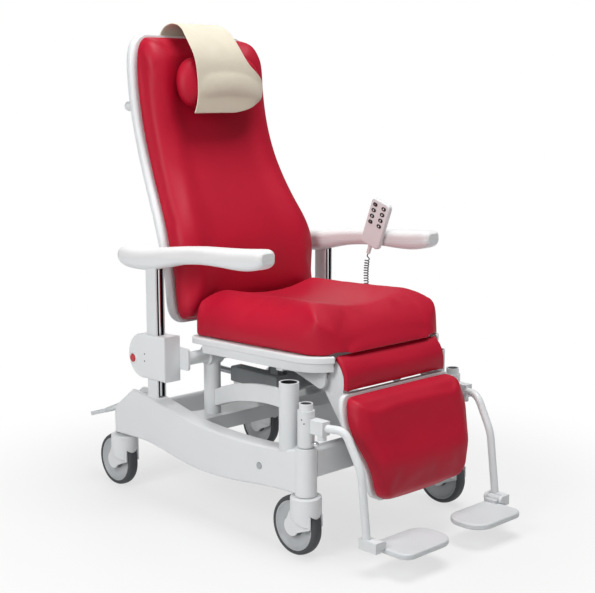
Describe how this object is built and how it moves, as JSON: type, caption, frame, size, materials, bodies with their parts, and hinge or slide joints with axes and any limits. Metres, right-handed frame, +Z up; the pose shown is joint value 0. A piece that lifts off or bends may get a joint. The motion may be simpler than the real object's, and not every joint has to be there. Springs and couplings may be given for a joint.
{
  "type": "patient transport chair",
  "caption": "Wheeled patient transport chair with tilting seat, reclining back, rising leg rest, drop-down armrests, corded handset and swing-away footrests.",
  "frame": {"origin": "on the floor under the middle of the whole chair", "axes": "the chair faces -Y, +X is the patient's left, +Z is up"},
  "size_m": [0.692, 1.1878, 1.2999],
  "materials": {
    "white_moulding": "satin",
    "white_frame": "satin powder coat",
    "grey_moulding": "fine texture",
    "tyre_grey": "matte",
    "chrome_steel": "polished",
    "zinc_steel": "zinc plated",
    "red_vinyl": "soft grain vinyl over foam",
    "cream_cloth": "terry weave",
    "red_button": "gloss",
    "dark_plastic": "fine texture",
    "key_plastic": "satin",
    "black_cord": "satin"
  },
  "bodies": {
    "base": {"side_rail_right": "white_moulding", "side_rail_left": "white_moulding", "crossmembers": "white_frame", "uprights": "white_frame", "accessory_sockets": "white_frame", "curved_braces": "white_frame", "rail_bolts": "zinc_steel"},
    "brake_right": {"brake_pedal_right": "grey_moulding"},
    "swivel_front_right": {"caster_fork_front_right": "white_moulding"},
    "wheel_front_right": {"caster_wheel_front_right": "tyre_grey"},
    "swivel_rear_right": {"caster_fork_rear_right": "white_moulding"},
    "wheel_rear_right": {"caster_wheel_rear_right": "tyre_grey"},
    "brake_left": {"brake_pedal_left": "grey_moulding"},
    "swivel_front_left": {"caster_fork_front_left": "white_moulding"},
    "wheel_front_left": {"caster_wheel_front_left": "tyre_grey"},
    "swivel_rear_left": {"caster_fork_rear_left": "white_moulding"},
    "wheel_rear_left": {"caster_wheel_rear_left": "tyre_grey"},
    "seat": {"seat_frame": "white_frame", "seat_tray": "white_moulding", "seat_cushion": "red_vinyl", "column_housings": "white_moulding", "control_box": "dark_plastic", "back_actuator": "dark_plastic", "leg_actuator": "dark_plastic", "handset_cord": "black_cord"},
    "armrest_right": {"armrest_column_right": "chrome_steel", "armrest_shell_right": "white_moulding", "armrest_pad_right": "white_moulding"},
    "release_right": {"release_button_right": "red_button"},
    "armrest_left": {"armrest_column_left": "chrome_steel", "armrest_shell_left": "white_moulding", "armrest_pad_left": "white_moulding", "handset_case": "grey_moulding"},
    "release_left": {"release_button_left": "red_button"},
    "key_back_up": {"key_back_up": "key_plastic"},
    "key_back_down": {"key_back_down": "key_plastic"},
    "key_legs_up": {"key_legs_up": "key_plastic"},
    "key_legs_down": {"key_legs_down": "key_plastic"},
    "key_tilt_up": {"key_tilt_up": "key_plastic"},
    "key_tilt_down": {"key_tilt_down": "key_plastic"},
    "key_flat": {"key_flat": "key_plastic"},
    "key_upright": {"key_upright": "key_plastic"},
    "back": {"back_shell": "white_moulding", "back_cushion": "red_vinyl", "push_handle": "white_frame"},
    "headrest": {"headrest_pillow": "red_vinyl", "headrest_cover": "cream_cloth"},
    "legrest": {"calf_shell": "white_moulding", "calf_pad": "red_vinyl", "knee_flap": "red_vinyl"},
    "footrest_right": {"hanger_right": "white_frame"},
    "knob_right": {"hanger_knob_right": "chrome_steel"},
    "footplate_right": {"footplate_right": "grey_moulding"},
    "footrest_left": {"hanger_left": "white_frame"},
    "knob_left": {"hanger_knob_left": "chrome_steel"},
    "footplate_left": {"footplate_left": "grey_moulding"},
    "tilt_ram": {"tilt_actuator": "dark_plastic"},
    "tilt_push_rod": {"tilt_rod": "zinc_steel"},
    "back_pull_rod": {"back_rod": "zinc_steel"},
    "leg_push_rod": {"leg_rod": "zinc_steel"}
  },
  "joints": [
    {"name": "brake_right_press", "type": "hinge", "parent": "base", "child": "brake_right", "pos_m": [-0.277, 0.33408, 0.29], "axis": [-1, 0, 0], "range_deg": [-4, 8]},
    {"name": "caster_swivel_front_right", "type": "hinge", "parent": "base", "child": "swivel_front_right", "pos_m": [-0.277, -0.30992, 0.15], "axis": [0, 0, 1], "continuous": true},
    {"name": "caster_spin_front_right", "type": "hinge", "parent": "swivel_front_right", "child": "wheel_front_right", "pos_m": [-0.277, -0.27892, 0.075], "axis": [1, 0, 0], "continuous": true},
    {"name": "caster_swivel_rear_right", "type": "hinge", "parent": "base", "child": "swivel_rear_right", "pos_m": [-0.277, 0.44308, 0.15], "axis": [0, 0, 1], "continuous": true},
    {"name": "caster_spin_rear_right", "type": "hinge", "parent": "swivel_rear_right", "child": "wheel_rear_right", "pos_m": [-0.277, 0.47408, 0.075], "axis": [1, 0, 0], "continuous": true},
    {"name": "brake_left_press", "type": "hinge", "parent": "base", "child": "brake_left", "pos_m": [0.277, 0.33408, 0.29], "axis": [-1, 0, 0], "range_deg": [-4, 8]},
    {"name": "caster_swivel_front_left", "type": "hinge", "parent": "base", "child": "swivel_front_left", "pos_m": [0.277, -0.30992, 0.15], "axis": [0, 0, 1], "continuous": true},
    {"name": "caster_spin_front_left", "type": "hinge", "parent": "swivel_front_left", "child": "wheel_front_left", "pos_m": [0.277, -0.27892, 0.075], "axis": [1, 0, 0], "continuous": true},
    {"name": "caster_swivel_rear_left", "type": "hinge", "parent": "base", "child": "swivel_rear_left", "pos_m": [0.277, 0.44308, 0.15], "axis": [0, 0, 1], "continuous": true},
    {"name": "caster_spin_rear_left", "type": "hinge", "parent": "swivel_rear_left", "child": "wheel_rear_left", "pos_m": [0.277, 0.47408, 0.075], "axis": [1, 0, 0], "continuous": true},
    {"name": "seat_tilt", "type": "hinge", "parent": "base", "child": "seat", "pos_m": [0, 0.14608, 0.424], "axis": [-1, 0, 0], "range_deg": [0, 10]},
    {"name": "armrest_right_height", "type": "slide", "parent": "seat", "child": "armrest_right", "axis": [0, 0, 1], "range_m": [-0.15, 0]},
    {"name": "release_right_press", "type": "slide", "parent": "seat", "child": "release_right", "axis": [1, 0, 0], "range_m": [0, 0.004], "stiffness_N_per_m": 800},
    {"name": "armrest_left_height", "type": "slide", "parent": "seat", "child": "armrest_left", "axis": [0, 0, 1], "range_m": [-0.15, 0], "deforming": ["handset_cord"]},
    {"name": "release_left_press", "type": "slide", "parent": "seat", "child": "release_left", "axis": [-1, 0, 0], "range_m": [0, 0.004], "stiffness_N_per_m": 800},
    {"name": "key_back_up_press", "type": "slide", "parent": "armrest_left", "child": "key_back_up", "axis": [1, 0, 0], "range_m": [0, 0.001], "stiffness_N_per_m": 600},
    {"name": "key_back_down_press", "type": "slide", "parent": "armrest_left", "child": "key_back_down", "axis": [1, 0, 0], "range_m": [0, 0.001], "stiffness_N_per_m": 600},
    {"name": "key_legs_up_press", "type": "slide", "parent": "armrest_left", "child": "key_legs_up", "axis": [1, 0, 0], "range_m": [0, 0.001], "stiffness_N_per_m": 600},
    {"name": "key_legs_down_press", "type": "slide", "parent": "armrest_left", "child": "key_legs_down", "axis": [1, 0, 0], "range_m": [0, 0.001], "stiffness_N_per_m": 600},
    {"name": "key_tilt_up_press", "type": "slide", "parent": "armrest_left", "child": "key_tilt_up", "axis": [1, 0, 0], "range_m": [0, 0.001], "stiffness_N_per_m": 600},
    {"name": "key_tilt_down_press", "type": "slide", "parent": "armrest_left", "child": "key_tilt_down", "axis": [1, 0, 0], "range_m": [0, 0.001], "stiffness_N_per_m": 600},
    {"name": "key_flat_press", "type": "slide", "parent": "armrest_left", "child": "key_flat", "axis": [1, 0, 0], "range_m": [0, 0.001], "stiffness_N_per_m": 600},
    {"name": "key_upright_press", "type": "slide", "parent": "armrest_left", "child": "key_upright", "axis": [1, 0, 0], "range_m": [0, 0.001], "stiffness_N_per_m": 600},
    {"name": "back_recline", "type": "hinge", "parent": "seat", "child": "back", "pos_m": [0, 0.18808, 0.438], "axis": [-1, 0, 0], "range_deg": [0, 60]},
    {"name": "headrest_height", "type": "slide", "parent": "back", "child": "headrest", "axis": [0, 0.1478, 0.989], "range_m": [0, 0.05], "deforming": ["headrest_cover"]},
    {"name": "legrest_raise", "type": "hinge", "parent": "seat", "child": "legrest", "pos_m": [0, -0.27692, 0.425], "axis": [-1, 0, 0], "range_deg": [0, 62]},
    {"name": "footrest_right_swing", "type": "hinge", "parent": "base", "child": "footrest_right", "pos_m": [-0.277, -0.30992, 0.33], "axis": [0, 0, -1], "range_deg": [0, 90]},
    {"name": "footrest_right_lock_pull", "type": "slide", "parent": "footrest_right", "child": "knob_right", "axis": [0, -1, 0], "range_m": [0, 0.006], "stiffness_N_per_m": 600},
    {"name": "footplate_right_flip", "type": "hinge", "parent": "footrest_right", "child": "footplate_right", "pos_m": [-0.231, -0.49592, 0.076], "axis": [0, -1, 0], "range_deg": [0, 90]},
    {"name": "footrest_left_swing", "type": "hinge", "parent": "base", "child": "footrest_left", "pos_m": [0.277, -0.30992, 0.33], "axis": [0, 0, 1], "range_deg": [0, 90]},
    {"name": "footrest_left_lock_pull", "type": "slide", "parent": "footrest_left", "child": "knob_left", "axis": [0, -1, 0], "range_m": [0, 0.006], "stiffness_N_per_m": 600},
    {"name": "footplate_left_flip", "type": "hinge", "parent": "footrest_left", "child": "footplate_left", "pos_m": [0.231, -0.49592, 0.076], "axis": [0, 1, 0], "range_deg": [0, 90]},
    {"name": "tilt_ram_pivot", "type": "hinge", "parent": "base", "child": "tilt_ram", "pos_m": [0, 0.14308, 0.28], "axis": [-1, 0, 0], "range_deg": [0, 8.25]},
    {"name": "tilt_rod_travel", "type": "slide", "parent": "tilt_ram", "child": "tilt_push_rod", "axis": [0, -0.9209, 0.3897], "range_m": [0, 0.02259]},
    {"name": "back_rod_travel", "type": "slide", "parent": "seat", "child": "back_pull_rod", "axis": [0, -1, 0], "range_m": [0, 0.075]},
    {"name": "leg_rod_travel", "type": "slide", "parent": "seat", "child": "leg_push_rod", "axis": [0, -1, 0], "range_m": [0, 0.04572]}
  ],
  "couplings": [
    {"joint": "brake_left_press", "follows": "brake_right_press", "ratio": 1},
    {"joint": "tilt_ram_pivot", "follows": "seat_tilt", "ratio": 0.82454},
    {"joint": "tilt_rod_travel", "follows": "seat_tilt", "m_per_rad": 0.12945},
    {"joint": "back_rod_travel", "follows": "back_recline", "m_per_rad": 0.07162},
    {"joint": "leg_rod_travel", "follows": "legrest_raise", "m_per_rad": 0.042253}
  ]
}
